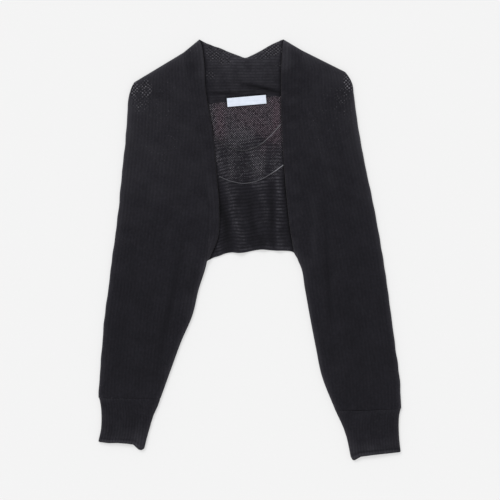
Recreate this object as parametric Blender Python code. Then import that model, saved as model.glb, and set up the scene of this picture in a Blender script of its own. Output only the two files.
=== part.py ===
"""Black shawl cardigan, a cropped dolman shrug, laid flat on its back.

The garment lies face up on a surface at z = 0. +X is to the right in the view from above, +Y runs
towards the neck, and the origin is at the middle of the footprint. Sizes below are in millimetres,
and left and right are the sides seen from above.
"""
import math

import bpy

MM = 0.001

# Knit cloth: its wall, the height of a rib's crest, and the room between the layers that lie on
# each other. The upper layer's inside lies at UPPER where nothing lifts it.
WALL = 2.4
RIB = 0.6
LAYER_GAP = 1.0
UPPER = WALL + LAYER_GAP
FOLD_RADIUS = WALL + LAYER_GAP / 2

# Seams, and edges that come down on the layer below and thin out
SEAM = 0.4
NECK_SEAM = 0.6
EDGE_GAP = 0.3
EDGE_ROLL = 12.0
EDGE_THIN = 0.5

# Ribs that each piece has, side by side
SLEEVE_RIBS = 24
BAND_RIBS = 6
NECK_RIBS = 15
BACK_RIBS = 42
HEM_RIBS = 4
CUFF_RIBS = 20

# Steps along the parts of a section that have no ribs
UNDER_STEPS = 5
FOLD_STEPS = 4

# Height that the shawl band's middle bows up
BAND_BOW = 0.5

# The neck band's stand is doubled between a slanting line and this share of the way to its seam
STAND_HEIGHT = 1.2
STAND_END = 0.82
STAND_SLOPE = 0.08

# The back and the hem band share one patch, parted at this share of the way from neck to hem
HEM_START = 0.915

# Neck label and inside loops
LABEL_SIZE = (68.5, 15.2, 1.0)
LABEL_CENTRE = (-5.4, 258.2)
LABEL_TILT = math.radians(5)
LOOP_RADIUS = 0.6
LOOP_STEP = 8 * LOOP_RADIUS

# Each half of the garment, one row for each section from the shoulder's edge to the cuff seam.
# outer is the folded side. inner is the band seam above the underarm, the sleeve seam below it.
# crown is how far the upper layer bows up in the middle, and hold how high its inner edge stands.
HALF_COLUMNS = ("outer_x", "outer_y", "inner_x", "inner_y", "crown", "hold")
LEFT_HALF = (
    (-202, 291, -116, 343, 0.0, 0.0),
    (-206, 284, -115, 336, 1.0, 0.3),
    (-210, 274, -112, 320, 1.6, 0.7),
    (-213, 257, -107, 289, 2.0, 1.0),
    (-215, 226, -101, 247, 2.3, 1.2),
    (-218, 187, -90, 194, 2.4, 1.2),
    (-224, 131, -80, 128, 2.4, 1.2),
    (-230, 68, -72, 65, 2.4, 1.2),
    (-237, 12, -72, 16, 2.4, 1.0),
    (-242, -23, -75, -23, 2.4, 0.6),
    (-248, -74, -90, -74, 2.6, 0.0),
    (-254, -116, -100, -116, 2.6, 0.0),
    (-258, -163, -120, -163, 2.6, 0.0),
    (-262, -212, -138, -212, 2.5, 0.0),
    (-265, -261, -156, -262, 2.0, 0.0),
)
RIGHT_HALF = (
    (167, 309, 91, 347, 0.0, 0.0),
    (172, 303, 91, 340, 1.0, 0.3),
    (178, 292, 90, 327, 1.6, 0.7),
    (182, 271, 89, 296, 2.0, 1.0),
    (185, 247, 88, 254, 2.3, 1.2),
    (191, 205, 88, 205, 2.4, 1.2),
    (201, 150, 88, 149, 2.4, 1.2),
    (214, 89, 89, 86, 2.4, 1.2),
    (225, 32, 89, 32, 2.4, 1.0),
    (234, -21, 83.5, -18, 2.4, 0.6),
    (236, -34, 90, -34, 2.5, 0.0),
    (241, -68, 96, -68, 2.6, 0.0),
    (248, -121, 105.5, -121, 2.6, 0.0),
    (255, -173, 115.5, -173, 2.6, 0.0),
    (262, -221, 125.5, -221, 2.5, 0.0),
    (265, -280, 150, -284, 2.0, 0.0),
)

# Free edge of the shawl band at each section down to the underarm, the shoulder's edge first
LEFT_FREE_EDGE = (
    (-88, 366), (-85, 358), (-80, 327), (-78, 285), (-72, 243), (-64, 194), (-58, 128), (-53, 65),
    (-55.5, 19), (-70, -17),
)
RIGHT_FREE_EDGE = (
    (59, 366), (58, 358), (56, 331), (55, 296), (55, 254), (57, 205), (60, 149), (65, 86),
    (71, 32), (78, -9),
)
BODY_ROWS = len(LEFT_FREE_EDGE)

# The back from left to right, one row for each column of its cloth: the neck band's top edge, the
# seam between neck band and back, the hem, and the share of the way down the neck band at which
# its doubled stand begins. A stand of 1 is none.
BACK_COLUMNS = ("top_x", "top_y", "seam_x", "seam_y", "hem_x", "hem_y", "stand")
BACK = (
    (-88, 366, -116, 343, -75, -23, 1.0),
    (-77, 360, -99, 327, -73, -21, 1.0),
    (-69, 357, -87, 289, -69, -19, 1.0),
    (-62, 354, -73, 255, -63, -16, 1.0),
    (-52, 351, -61, 255, -53, -13, 0.48),
    (-41, 346, -50, 256, -43, -9, 0.34),
    (-31, 342, -38, 257, -32, -7, 0.18),
    (-20, 338, -25, 258, -20, -8, 0.03),
    (-8, 334, -11, 260, -8, -7, -0.1),
    (3, 338, 3, 262, 6, -4, -0.1),
    (13, 343, 17, 264, 20, -2, 0.08),
    (24, 349, 31, 265, 34, -3, 0.36),
    (34, 355, 44, 267, 48, -4, 0.44),
    (44, 360, 55, 268, 60, -4, 1.0),
    (51, 363, 64, 296, 72, -5, 1.0),
    (55, 365, 76, 331, 79, -9, 1.0),
    (59, 366, 91, 347, 83.5, -18, 1.0),
)

# Cuffs, from the sleeve seam to the open end
LEFT_CUFF = (
    (-263.5, -261.4, -156.5, -262.4, 1.6, 0.0),
    (-261.2, -272, -160.5, -274, 1.7, 0.0),
    (-259.6, -289, -168.5, -292, 1.8, 0.0),
    (-260.3, -315, -176.5, -318, 1.8, 0.0),
    (-265, -337, -185, -345, 1.4, 0.0),
)
RIGHT_CUFF = (
    (264, -280.5, 150.5, -284.4, 1.6, 0.0),
    (261.6, -291, 155.5, -295, 1.7, 0.0),
    (260.6, -306, 162.5, -310, 1.8, 0.0),
    (261.4, -331, 170.5, -334, 1.8, 0.0),
    (264, -355, 177, -366, 1.4, 0.0),
)

# Soft ridges that lift the back off the surface, and troughs pressed into the upper layer
FOLD_COLUMNS = ("start_x", "start_y", "end_x", "end_y", "height", "width")
BACK_RIDGES = (
    (-36, 128, -14, -30, 4.2, 9.0),
    (12, 122, 24, -30, 3.4, 8.0),
    (47, 116, 52, -30, 3.0, 7.0),
)
SLEEVE_TROUGHS = (
    (-150, 10, -178, -205, -1.5, 8.0),
    (-200, -60, -226, -245, -1.2, 9.0),
    (-165, 215, -150, 60, -1.0, 12.0),
    (136, 120, 141, -165, -1.6, 8.0),
    (196, -20, 214, -250, -1.2, 9.0),
    (140, 250, 132, 140, -0.9, 12.0),
)
FOLD_FADE = 35.0

# Inside loops, from the left band's free edge to the right one's
UPPER_LOOP = ((-60.5, 195), (-50, 186), (-38, 178), (-11, 171), (15, 180), (36, 197), (54, 217))
LOWER_LOOP = ((-53.5, 126), (-34, 118), (-10, 114), (15, 119), (39, 132), (58.5, 146))

# Finishes: colour and roughness
BLACK_KNIT = ((0.018, 0.018, 0.022, 1.0), 0.92)
RIB_KNIT = ((0.016, 0.016, 0.020, 1.0), 0.92)
LABEL_SATIN = ((0.80, 0.83, 0.90, 1.0), 0.45)
LOOP_CORD = ((0.45, 0.44, 0.46, 1.0), 0.35)


def as_rows(table, columns):
    """Turn a table into dictionaries, so that each value is read by its column's name."""
    return [dict(zip(columns, row)) for row in table]


def blend(a, b, t):
    return a + (b - a) * t


def smooth_step(t):
    t = min(max(t, 0.0), 1.0)
    return t * t * (3 - 2 * t)


def dome(t):
    """A low arch over 0 to 1, with its top of 1 in the middle."""
    return 4 * t * (1 - t)


def rib_height(step):
    """Crests stand on every second step across the ribs."""
    return RIB if step % 2 else 0.0


def polyline_point(points, share):
    """Point at a share of a polyline's whole length."""
    to_go = share * sum(math.dist(a, b) for a, b in zip(points, points[1:]))
    for start, end in zip(points, points[1:]):
        length = math.dist(start, end)
        if to_go <= length or end is points[-1]:
            break
        to_go -= length
    t = to_go / length
    return (blend(start[0], end[0], t), blend(start[1], end[1], t))


def fold_height(folds, x, y):
    """Height of all the soft folds at one place. Each fades in at its start and out at its end."""
    height = 0.0
    for fold in as_rows(folds, FOLD_COLUMNS):
        run_x = fold["end_x"] - fold["start_x"]
        run_y = fold["end_y"] - fold["start_y"]
        length = math.hypot(run_x, run_y)
        along = ((x - fold["start_x"]) * run_x + (y - fold["start_y"]) * run_y) / length
        across = ((x - fold["start_x"]) * run_y - (y - fold["start_y"]) * run_x) / length
        fade = smooth_step(along / FOLD_FADE) * smooth_step((length - along) / FOLD_FADE + 0.5)
        height += fold["height"] * fade * math.exp(-(across / fold["width"]) ** 2)
    return height


def clear_scene():
    for item in list(bpy.data.objects):
        bpy.data.objects.remove(item, do_unlink=True)


def new_material(name, finish):
    colour, roughness = finish
    material = bpy.data.materials.new(name)
    material.use_nodes = True
    shader = material.node_tree.nodes["Principled BSDF"]
    shader.inputs["Base Color"].default_value = colour
    shader.inputs["Roughness"].default_value = roughness
    shader.inputs["Metallic"].default_value = 0.0
    return material


def new_object(name, data, finish, collection):
    data.materials.append(new_material(name + "_finish", finish))
    item = bpy.data.objects.new(name, data)
    collection.objects.link(item)
    return item


def face_outward(mesh):
    """Turn the faces outward: the signed volume tells whether the loft came out inside out."""
    mesh.calc_loop_triangles()
    volume = 0.0
    for triangle in mesh.loop_triangles:
        a, b, c = (mesh.vertices[index].co for index in triangle.vertices)
        volume += a.dot(b.cross(c))
    if volume < 0:
        mesh.flip_normals()


def closed_cloth(name, outside, inside, finish, collection, tube=False):
    """Loft a wall of cloth between two like grids of points, rows by columns, and close its edges.

    A tube's columns run all the way round, so only its first and last rows are edges.
    """
    rows, columns = len(outside), len(outside[0])
    points = [point for grid in (outside, inside) for row in grid for point in row]
    inner = rows * columns
    column_steps = columns if tube else columns - 1

    def at(row, column):
        return row * columns + column % columns

    def edge(here, there, turn):
        return (here, inner + here, inner + there, there)[::turn]

    faces = []
    for row in range(rows - 1):
        for column in range(column_steps):
            quad = (at(row, column), at(row + 1, column), at(row + 1, column + 1), at(row, column + 1))
            faces.append(quad)
            faces.append(tuple(inner + corner for corner in reversed(quad)))
        if not tube:
            faces.append(edge(at(row, 0), at(row + 1, 0), 1))
            faces.append(edge(at(row, columns - 1), at(row + 1, columns - 1), -1))
    for column in range(column_steps):
        faces.append(edge(at(0, column), at(0, column + 1), -1))
        faces.append(edge(at(rows - 1, column), at(rows - 1, column + 1), 1))
    mesh = bpy.data.meshes.new(name)
    mesh.from_pydata([tuple(value * MM for value in point) for point in points], [], faces)
    mesh.validate()
    face_outward(mesh)
    mesh.shade_smooth()
    mesh.set_sharp_from_angle(angle=math.radians(50))
    return new_object(name, mesh, finish, collection)


class Section:
    """One section across a half or a cuff, filled with points from the inner side over the top.

    Distances along it run from the outer fold to the inner side.
    """

    def __init__(self, row):
        self.row = row
        self.run_x = row["inner_x"] - row["outer_x"]
        self.run_y = row["inner_y"] - row["outer_y"]
        self.width = math.hypot(self.run_x, self.run_y)
        self.outside = []
        self.inside = []

    def add(self, along_outside, z_outside, along_inside, z_inside):
        for points, along, z in (
            (self.outside, along_outside, z_outside),
            (self.inside, along_inside, z_inside),
        ):
            share = along / self.width
            x = self.row["outer_x"] + self.run_x * share
            y = self.row["outer_y"] + self.run_y * share
            points.append((x, y, z))

    def upper_layer(self, ribs, end, rolled):
        """Ribbed layer from the inner end to the outer fold. A rolled end comes down and thins."""
        for step in range(2 * ribs + 1):
            along = blend(end, FOLD_RADIUS, step / (2 * ribs))
            share = along / self.width
            x = self.row["outer_x"] + self.run_x * share
            y = self.row["outer_y"] + self.run_y * share
            z = UPPER + self.row["crown"] * dome(share) + self.row["hold"] * share ** 2
            z += fold_height(SLEEVE_TROUGHS, x, y) * smooth_step(dome(share))
            thickness = WALL + rib_height(step)
            if rolled:
                roll = smooth_step((end - along) / EDGE_ROLL)
                z = blend(WALL + EDGE_GAP, z, roll)
                thickness *= blend(EDGE_THIN, 1.0, roll)
            z = max(z, WALL + EDGE_GAP)
            self.add(along, z + thickness, along, z)

    def side_fold(self, centre, side):
        """Half circle of cloth round a side, between the layers. side is -1 outer, 1 inner."""
        inner_radius = FOLD_RADIUS - WALL
        for step in range(1, FOLD_STEPS):
            across = side * math.sin(math.pi * step / FOLD_STEPS)
            down = side * math.cos(math.pi * step / FOLD_STEPS)
            self.add(
                centre + FOLD_RADIUS * across, FOLD_RADIUS - FOLD_RADIUS * down,
                centre + inner_radius * across, FOLD_RADIUS - inner_radius * down,
            )

    def lower_layer(self, end):
        """Plain layer that rests on the surface, from the outer fold to the inner end."""
        for step in range(UNDER_STEPS + 1):
            along = blend(FOLD_RADIUS, end, step / UNDER_STEPS)
            self.add(along, 0.0, along, WALL)


def half(name, table, collection):
    """Front, shoulder and sleeve of one side, knitted in one and folded along the outer side."""
    outside, inside = [], []
    for row in as_rows(table, HALF_COLUMNS):
        section = Section(row)
        section.upper_layer(SLEEVE_RIBS, section.width, rolled=row["hold"] == 0.0)
        section.side_fold(FOLD_RADIUS, -1)
        section.lower_layer(section.width)
        outside.append(section.outside)
        inside.append(section.inside)
    return closed_cloth(name, outside, inside, BLACK_KNIT, collection)


def cuff(name, table, collection):
    """A ribbed tube, pressed flat, with its two ends open."""
    outside, inside = [], []
    for row in as_rows(table, HALF_COLUMNS):
        section = Section(row)
        end = section.width - FOLD_RADIUS
        section.upper_layer(CUFF_RIBS, end, rolled=False)
        section.side_fold(FOLD_RADIUS, -1)
        section.lower_layer(end)
        section.side_fold(end, 1)
        outside.append(section.outside)
        inside.append(section.inside)
    return closed_cloth(name, outside, inside, RIB_KNIT, collection, tube=True)


def shawl_band(name, half_table, free_edge, collection):
    """Shawl collar along one front, from its seam to the free edge, ribbed along its length."""
    outside, inside = [], []
    steps = 2 * BAND_RIBS
    for row, free in zip(as_rows(half_table, HALF_COLUMNS), free_edge):
        run_x = free[0] - row["inner_x"]
        run_y = free[1] - row["inner_y"]
        width = math.hypot(run_x, run_y)
        top, bottom = [], []
        for step in range(steps + 1):
            share = blend(SEAM / width, 1.0, step / steps)
            x = row["inner_x"] + run_x * share
            y = row["inner_y"] + run_y * share
            z = UPPER + row["hold"] * (1 - share ** 2) + BAND_BOW * dome(share)
            thickness = WALL + rib_height(step)
            if step == steps:
                thickness *= EDGE_THIN
            top.append((x, y, z + thickness))
            bottom.append((x, y, z))
        outside.append(top)
        inside.append(bottom)
    return closed_cloth(name, outside, inside, RIB_KNIT, collection)


def back_point(column, v):
    """Place of one column of the back at share v of the way from the neck seam to the hem.

    The patch is stretched between the neck seam, the hem and the inner sides of the two halves.
    """
    columns = as_rows(BACK, BACK_COLUMNS)
    first, here, last = columns[0], columns[column], columns[-1]
    u = column / (len(columns) - 1)
    left = polyline_point([row[2:4] for row in LEFT_HALF[:BODY_ROWS]], v)
    right = polyline_point([row[2:4] for row in RIGHT_HALF[:BODY_ROWS]], v)
    place = []
    for axis, name in enumerate(("x", "y")):
        seam, hem = "seam_" + name, "hem_" + name
        down = blend(here[seam], here[hem], v)
        across = blend(left[axis], right[axis], u)
        corners = blend(blend(first[seam], last[seam], u), blend(first[hem], last[hem], u), v)
        place.append(down + across - corners)
    if column == 0:
        place[0] += SEAM
    if column == len(columns) - 1:
        place[0] -= SEAM
    return place


def back_cloth(name, start, end, ribs, finish, collection):
    """A stretch of the back patch, as cloth that lies on the surface and lifts over its folds."""
    outside, inside = [], []
    for step in range(2 * ribs + 1):
        v = blend(start, end, step / (2 * ribs))
        top, bottom = [], []
        for column in range(len(BACK)):
            x, y = back_point(column, v)
            lift = fold_height(BACK_RIDGES, x, y)
            top.append((x, y, lift + WALL + rib_height(step)))
            bottom.append((x, y, lift))
        outside.append(top)
        inside.append(bottom)
    return closed_cloth(name, outside, inside, finish, collection)


def back_panel(collection):
    middle = as_rows(BACK, BACK_COLUMNS)[len(BACK) // 2]
    seam = SEAM / (middle["seam_y"] - middle["hem_y"])
    return back_cloth("back_panel", 0.0, HEM_START - seam, BACK_RIBS, BLACK_KNIT, collection)


def hem_band(collection):
    return back_cloth("hem_band", HEM_START, 1.0, HEM_RIBS, RIB_KNIT, collection)


def stand_height(start, share):
    """Extra height of the neck band's doubled stand at one share of the way down a column."""
    rise = smooth_step((share - start) / STAND_SLOPE)
    fall = smooth_step((STAND_END - share) / STAND_SLOPE)
    return STAND_HEIGHT * rise * fall


def neck_band(collection):
    """Back of the shawl collar, ribbed along the neck, from its top edge to the back seam."""
    outside, inside = [], []
    for column in as_rows(BACK, BACK_COLUMNS):
        run_x = column["seam_x"] - column["top_x"]
        run_y = column["seam_y"] - column["top_y"]
        length = math.hypot(run_x, run_y)
        top, bottom = [], []
        for step in range(2 * NECK_RIBS + 1):
            share = (1 - NECK_SEAM / length) * step / (2 * NECK_RIBS)
            x = column["top_x"] + run_x * share
            y = column["top_y"] + run_y * share
            top.append((x, y, WALL + rib_height(step) + stand_height(column["stand"], share)))
            bottom.append((x, y, 0.0))
        outside.append(top)
        inside.append(bottom)
    return closed_cloth("collar_neck", outside, inside, RIB_KNIT, collection)


def neck_label(collection):
    """Blank woven label, lying on the ribs across the back neck seam."""
    length, height, thickness = LABEL_SIZE
    z = WALL + RIB + EDGE_GAP + thickness / 2
    centre = (LABEL_CENTRE[0] * MM, LABEL_CENTRE[1] * MM, z * MM)
    bpy.ops.mesh.primitive_cube_add(size=1, location=centre, rotation=(0, 0, LABEL_TILT))
    label = bpy.context.object
    label.name = "neck_label"
    label.scale = (length * MM, height * MM, thickness * MM)
    label.data.materials.append(new_material("neck_label_finish", LABEL_SATIN))
    for owner in list(label.users_collection):
        owner.objects.unlink(label)
    collection.objects.link(label)
    return label


def curve_through(route, t):
    """Point on a smooth curve through the route's points, t counting whole points along it."""
    index = min(int(t), len(route) - 2)
    t -= index
    before = route[max(index - 1, 0)]
    start, end = route[index], route[index + 1]
    after = route[min(index + 2, len(route) - 1)]
    point = []
    for a, b, c, d in zip(before, start, end, after):
        bend = (2 * a - 5 * b + 4 * c - d) * t ** 2 + (3 * b - a - 3 * c + d) * t ** 3
        point.append(0.5 * (2 * b + (c - a) * t + bend))
    return point


def inside_loop(name, route, collection):
    """A fine round cord that lies across the inside of the back between the two bands."""
    curve = bpy.data.curves.new(name, "CURVE")
    curve.dimensions = "3D"
    curve.bevel_depth = LOOP_RADIUS * MM
    curve.bevel_resolution = 2
    curve.use_fill_caps = True
    length = sum(math.dist(a, b) for a, b in zip(route, route[1:]))
    steps = round(length / LOOP_STEP)
    spline = curve.splines.new("POLY")
    spline.points.add(steps)
    for step, target in enumerate(spline.points):
        x, y = curve_through(route, step / steps * (len(route) - 1))
        z = fold_height(BACK_RIDGES, x, y) + WALL + RIB + EDGE_GAP + LOOP_RADIUS
        target.co = (x * MM, y * MM, z * MM, 1.0)
    return new_object(name, curve, LOOP_CORD, collection)


def build_cardigan():
    clear_scene()
    collection = bpy.data.collections.new("shawl_cardigan")
    bpy.context.scene.collection.children.link(collection)
    back_panel(collection)
    hem_band(collection)
    half("front_sleeve_left", LEFT_HALF, collection)
    half("front_sleeve_right", RIGHT_HALF, collection)
    cuff("cuff_left", LEFT_CUFF, collection)
    cuff("cuff_right", RIGHT_CUFF, collection)
    neck_band(collection)
    shawl_band("collar_left", LEFT_HALF, LEFT_FREE_EDGE, collection)
    shawl_band("collar_right", RIGHT_HALF, RIGHT_FREE_EDGE, collection)
    neck_label(collection)
    inside_loop("loop_upper", UPPER_LOOP, collection)
    inside_loop("loop_lower", LOWER_LOOP, collection)


build_cardigan()
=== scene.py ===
import math

import bpy
import numpy as np
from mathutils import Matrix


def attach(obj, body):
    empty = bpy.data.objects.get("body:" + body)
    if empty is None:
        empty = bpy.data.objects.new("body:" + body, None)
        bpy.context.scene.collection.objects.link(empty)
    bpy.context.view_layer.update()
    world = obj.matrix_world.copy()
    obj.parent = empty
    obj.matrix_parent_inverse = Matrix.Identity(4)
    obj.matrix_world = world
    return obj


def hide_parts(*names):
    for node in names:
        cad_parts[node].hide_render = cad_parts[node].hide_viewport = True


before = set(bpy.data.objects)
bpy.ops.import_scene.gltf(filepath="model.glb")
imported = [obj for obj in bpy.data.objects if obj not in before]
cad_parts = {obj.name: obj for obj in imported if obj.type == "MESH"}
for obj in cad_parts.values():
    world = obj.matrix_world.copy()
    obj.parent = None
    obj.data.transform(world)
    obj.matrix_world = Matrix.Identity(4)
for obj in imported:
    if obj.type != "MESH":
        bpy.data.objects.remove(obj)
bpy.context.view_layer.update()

MM = 0.001
BODY = "root"
UV_NAME = "knit"

# The photograph's frame: the width it shows, its centre, and the camera's height
VIEW_WIDTH = 875.0
VIEW_CENTRE = (0.4, -2.6)
CAMERA_HEIGHT = 3000.0
GARMENT_HEIGHT = 3.0
SENSOR_WIDTH = 36.0

# Cloth: wall, room between the layers, and the layers' heights, as the CAD has them
WALL = 2.4
UPPER = 3.4
FOLD_RADIUS = 2.9
FOLD_MIDDLE = UPPER - (UPPER - WALL) / 2
RIB = 0.6
CLEAR = 0.3
BACK_PLANE = WALL + RIB
BAND_BOW = 0.5

# How far edges round off: closed ones, on both sides of their wall, open ones, the bands' free
# ones, and those sewn to the next piece
CLOSED_ROUND = 3.6
CLOSED_ROUND_INSIDE = 2.6
RIM_ROUND = 1.2
BAND_RIM = 1.7
SEAM_ROUND = 0.9
# Least gap between the layers where they are pressed together
THIN = 0.06

# Each half's sections from the shoulder to the cuff seam: outer and inner end, how high the upper
# layer bows, and how high the band holds its inner end
LEFT_HALF = (
    (-202, 291, -116, 343, 0, 0), (-206, 284, -115, 336, 1, 0.3), (-210, 274, -112, 320, 1.6, 0.7),
    (-213, 257, -107, 289, 2, 1), (-215, 226, -101, 247, 2.3, 1.2), (-218, 187, -90, 194, 2.4, 1.2),
    (-224, 131, -80, 128, 2.4, 1.2), (-230, 68, -72, 65, 2.4, 1.2), (-237, 12, -72, 16, 2.4, 1),
    (-242, -23, -75, -23, 2.4, 0.6), (-248, -74, -90, -74, 2.6, 0), (-254, -116, -100, -116, 2.6, 0),
    (-258, -163, -120, -163, 2.6, 0), (-262, -212, -138, -212, 2.5, 0), (-265, -261, -156, -262, 2, 0),
)
RIGHT_HALF = (
    (167, 309, 91, 347, 0, 0), (172, 303, 91, 340, 1, 0.3), (178, 292, 90, 327, 1.6, 0.7),
    (182, 271, 89, 296, 2, 1), (185, 247, 88, 254, 2.3, 1.2), (191, 205, 88, 205, 2.4, 1.2),
    (201, 150, 88, 149, 2.4, 1.2), (214, 89, 89, 86, 2.4, 1.2), (225, 32, 89, 32, 2.4, 1),
    (234, -21, 83.5, -18, 2.4, 0.6), (236, -34, 90, -34, 2.5, 0), (241, -68, 96, -68, 2.6, 0),
    (248, -121, 105.5, -121, 2.6, 0), (255, -173, 115.5, -173, 2.6, 0),
    (262, -221, 125.5, -221, 2.5, 0), (265, -280, 150, -284, 2, 0),
)
LEFT_FREE_EDGE = (
    (-88, 366), (-85, 358), (-80, 327), (-78, 285), (-72, 243), (-64, 194), (-58, 128), (-53, 65),
    (-55.5, 19), (-70, -17),
)
RIGHT_FREE_EDGE = (
    (59, 366), (58, 358), (56, 331), (55, 296), (55, 254), (57, 205), (60, 149), (65, 86),
    (71, 32), (78, -9),
)
BODY_ROWS = len(LEFT_FREE_EDGE)

# The back from left to right: neck band's top edge, seam between neck band and back, hem, and the
# share of the neck band above its doubled stand
BACK = (
    (-88, 366, -116, 343, -75, -23, 1), (-77, 360, -99, 327, -73, -21, 1),
    (-69, 357, -87, 289, -69, -19, 1), (-62, 354, -73, 255, -63, -16, 1),
    (-52, 351, -61, 255, -53, -13, 0.48), (-41, 346, -50, 256, -43, -9, 0.34),
    (-31, 342, -38, 257, -32, -7, 0.18), (-20, 338, -25, 258, -20, -8, 0.03),
    (-8, 334, -11, 260, -8, -7, -0.1), (3, 338, 3, 262, 6, -4, -0.1), (13, 343, 17, 264, 20, -2, 0.08),
    (24, 349, 31, 265, 34, -3, 0.36), (34, 355, 44, 267, 48, -4, 0.44), (44, 360, 55, 268, 60, -4, 1),
    (51, 363, 64, 296, 72, -5, 1), (55, 365, 76, 331, 79, -9, 1), (59, 366, 91, 347, 83.5, -18, 1),
)
# The hem band begins at this share of the back. Lengths down and widths of back and neck band.
HEM_START = 0.915
BACK_SPAN = 262.0
BACK_WIDTH = 160.0
NECK_SPAN = 76.0
NECK_WIDTH = 190.0

# Each cuff's sections: outer and inner end, and how high the upper layer bows
LEFT_CUFF = (
    (-263.5, -261.4, -156.5, -262.4, 1.6), (-261.2, -272, -160.5, -274, 1.7),
    (-259.6, -289, -168.5, -292, 1.8), (-260.3, -315, -176.5, -318, 1.8), (-265, -337, -185, -345, 1.4),
)
RIGHT_CUFF = (
    (264, -280.5, 150.5, -284.4, 1.6), (261.6, -291, 155.5, -295, 1.7), (260.6, -306, 162.5, -310, 1.8),
    (261.4, -331, 170.5, -334, 1.8), (264, -355, 177, -366, 1.4),
)
# The waved mouths: share of the width, and how far the edge lies above the straight line. They
# come in over the last stretch, where the lower layer reaches farther.
LEFT_DIPS = (
    (0, 0), (0.22, -0.6), (0.42, 1.2), (0.62, 1.6), (0.76, 1.2), (0.88, -6.5), (0.94, -7), (1, -4.5),
)
RIGHT_DIPS = ((0, 0), (0.55, 0.8), (0.8, 0.6), (0.92, -4.0), (0.96, -3.4), (1, 1.5))
MOUTH_REACH = 26.0
CUFF_UNDER = 1.6

# Soft ridges that lift the back: where each starts and ends, its height and its half width
BACK_RIDGES = (
    (-36, 128, -14, -30, 4.2, 9), (12, 122, 24, -30, 3.4, 8), (47, 116, 52, -30, 3, 7),
)
RIDGE_FADE = 35.0

# Soft folds in the upper layers: points along each, its height and its half width. They start
# some way below the shoulder, and the sleeve closes over some way below the underarm.
SOFT_FROM = 30.0
UNDERARM_REACH = 22.0
LEFT_FOLDS = (
    (((-122, -2), (-136, -89), (-151, -159), (-165, -238)), -1.9, 8),
    (((-101, -2), (-111, -72), (-125, -133)), 1.5, 9),
    (((-213, -60), (-216, -159), (-218, -250)), -1.5, 17),
    (((-118, 280), (-124, 240), (-140, 195)), 0.9, 15),
    (((-176, 190), (-150, 95), (-116, 20)), -1.3, 14),
    (((-205, 120), (-190, 40), (-185, -30)), 0.9, 16),
    (((-240, -120), (-246, -180), (-244, -235)), 0.8, 7),
    (((-190, -200), (-186, -232), (-188, -255)), 0.9, 9),
)
RIGHT_FOLDS = (
    (((132, 94), (134, -2), (139, -89), (143, -168)), -2, 7),
    (((111, 86), (113, -2), (120, -72)), 1.4, 8), (((179, -89), (186, -168), (197, -247)), -1.6, 18),
    (((141, 245), (128, 155), (124, 100)), -1, 14), (((165, 200), (178, 110), (190, 30)), 0.9, 17),
    (((236, -150), (246, -205), (247, -250)), 0.8, 8),
    (((160, -190), (168, -232), (172, -265)), 0.9, 9),
)

# Inside loops, from the left band's free edge to the right one's
UPPER_LOOP = ((-60.5, 195), (-50, 186), (-38, 178), (-11, 171), (15, 180), (36, 197), (54, 217))
LOWER_LOOP = ((-53.5, 126), (-34, 118), (-10, 114), (15, 119), (39, 132), (58.5, 146))
LOOP_RADIUS = 0.6
LOOP_STEP = 2.0

# The knit's colours: painted shade, the yarn from the gaps between it to its full colour, and painted
# light for crests that catch the light
YARN_SHADE = (0.0016, 0.0015, 0.0026)
YARN_DARK = (0.0050, 0.0047, 0.0070)
YARN_LIGHT = (0.0125, 0.0118, 0.0160)
YARN_LIT = (0.0720, 0.0700, 0.0820)
SPECK = (0.154, 0.152, 0.169)
SPECK_WARM = (0.214, 0.140, 0.174)
HOLE = (0.0064, 0.0063, 0.0086)
HOLE_WARM = (0.0105, 0.0060, 0.0092)
SATIN_DARK = (0.50, 0.54, 0.63)
SATIN_LIGHT = (0.60, 0.64, 0.72)
# Tints of the cords' strands, low and high, in the shade and in the light
STRAND_TINTS = (((0.70, 0.69, 0.80), (1.20, 1.19, 1.36)), ((0.78, 0.79, 0.87), (1.22, 1.22, 1.35)))

# Stitches: their length, how far their legs slant, and how full the yarn is
COURSE = 2.3
STITCH_SLANT = 1.3
YARN_FULLNESS = 0.6

# Painted lightness of a whole piece, warmth at the fronts' top, and painted shade beside an edge:
# strength and reach
BACK_LEVEL = 0.16
NECK_LEVEL = 0.12
CUFF_LEVEL = -0.05
FRONT_BLUSH = 0.04
NECK_BLUSH = 0.05
BAND_SHADE = (-0.80, 3.2)
LABEL_SHADE = (-0.9, 1.8)
LABEL_SHADE_SHIFT = 0.8

LABEL_SIZE = (68.5, 15.2, 0.5)
LABEL_CENTRE = (-5.4, 258.2)
LABEL_TILT = math.radians(5)

# How much painted light (above 0) or painted shade (below 0) a place of the plain knit has: points
# along it, strength and half width
LEFT_PAINTED_SHADING = (
    (((-134, 344), (-110, 334), (-98, 308)), 0.14, 13),
    (((-190, 300), (-180, 210), (-170, 90)), 0.05, 50),
    (((-205, 270), (-212, 232), (-216, 185)), 0.16, 6),
    (((-116, 20), (-136, -89), (-151, -159), (-165, -245)), -0.3, 6),
    (((-100, 12), (-108, -60), (-122, -140)), 0.1, 9),
    (((-215, -40), (-220, -160), (-215, -262)), -0.12, 26),
    (((-238, -90), (-246, -170), (-248, -240)), 0.05, 8),
)
RIGHT_PAINTED_SHADING = (
    (((88, 350), (104, 330), (124, 312)), 0.12, 12), (((100, 330), (108, 240), (112, 130)), 0.04, 16),
    (((170, 290), (186, 200), (196, 110)), 0.03, 24), (((181, 262), (188, 210), (197, 160)), 0.14, 6),
    (((136, 306), (160, 292)), 0.18, 10), (((132, 110), (134, -2), (139, -89), (143, -180)), -0.34, 5),
    (((112, 100), (113, 20), (118, -50)), 0.12, 8), (((178, -30), (198, -150), (205, -270)), -0.12, 30),
)
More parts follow.
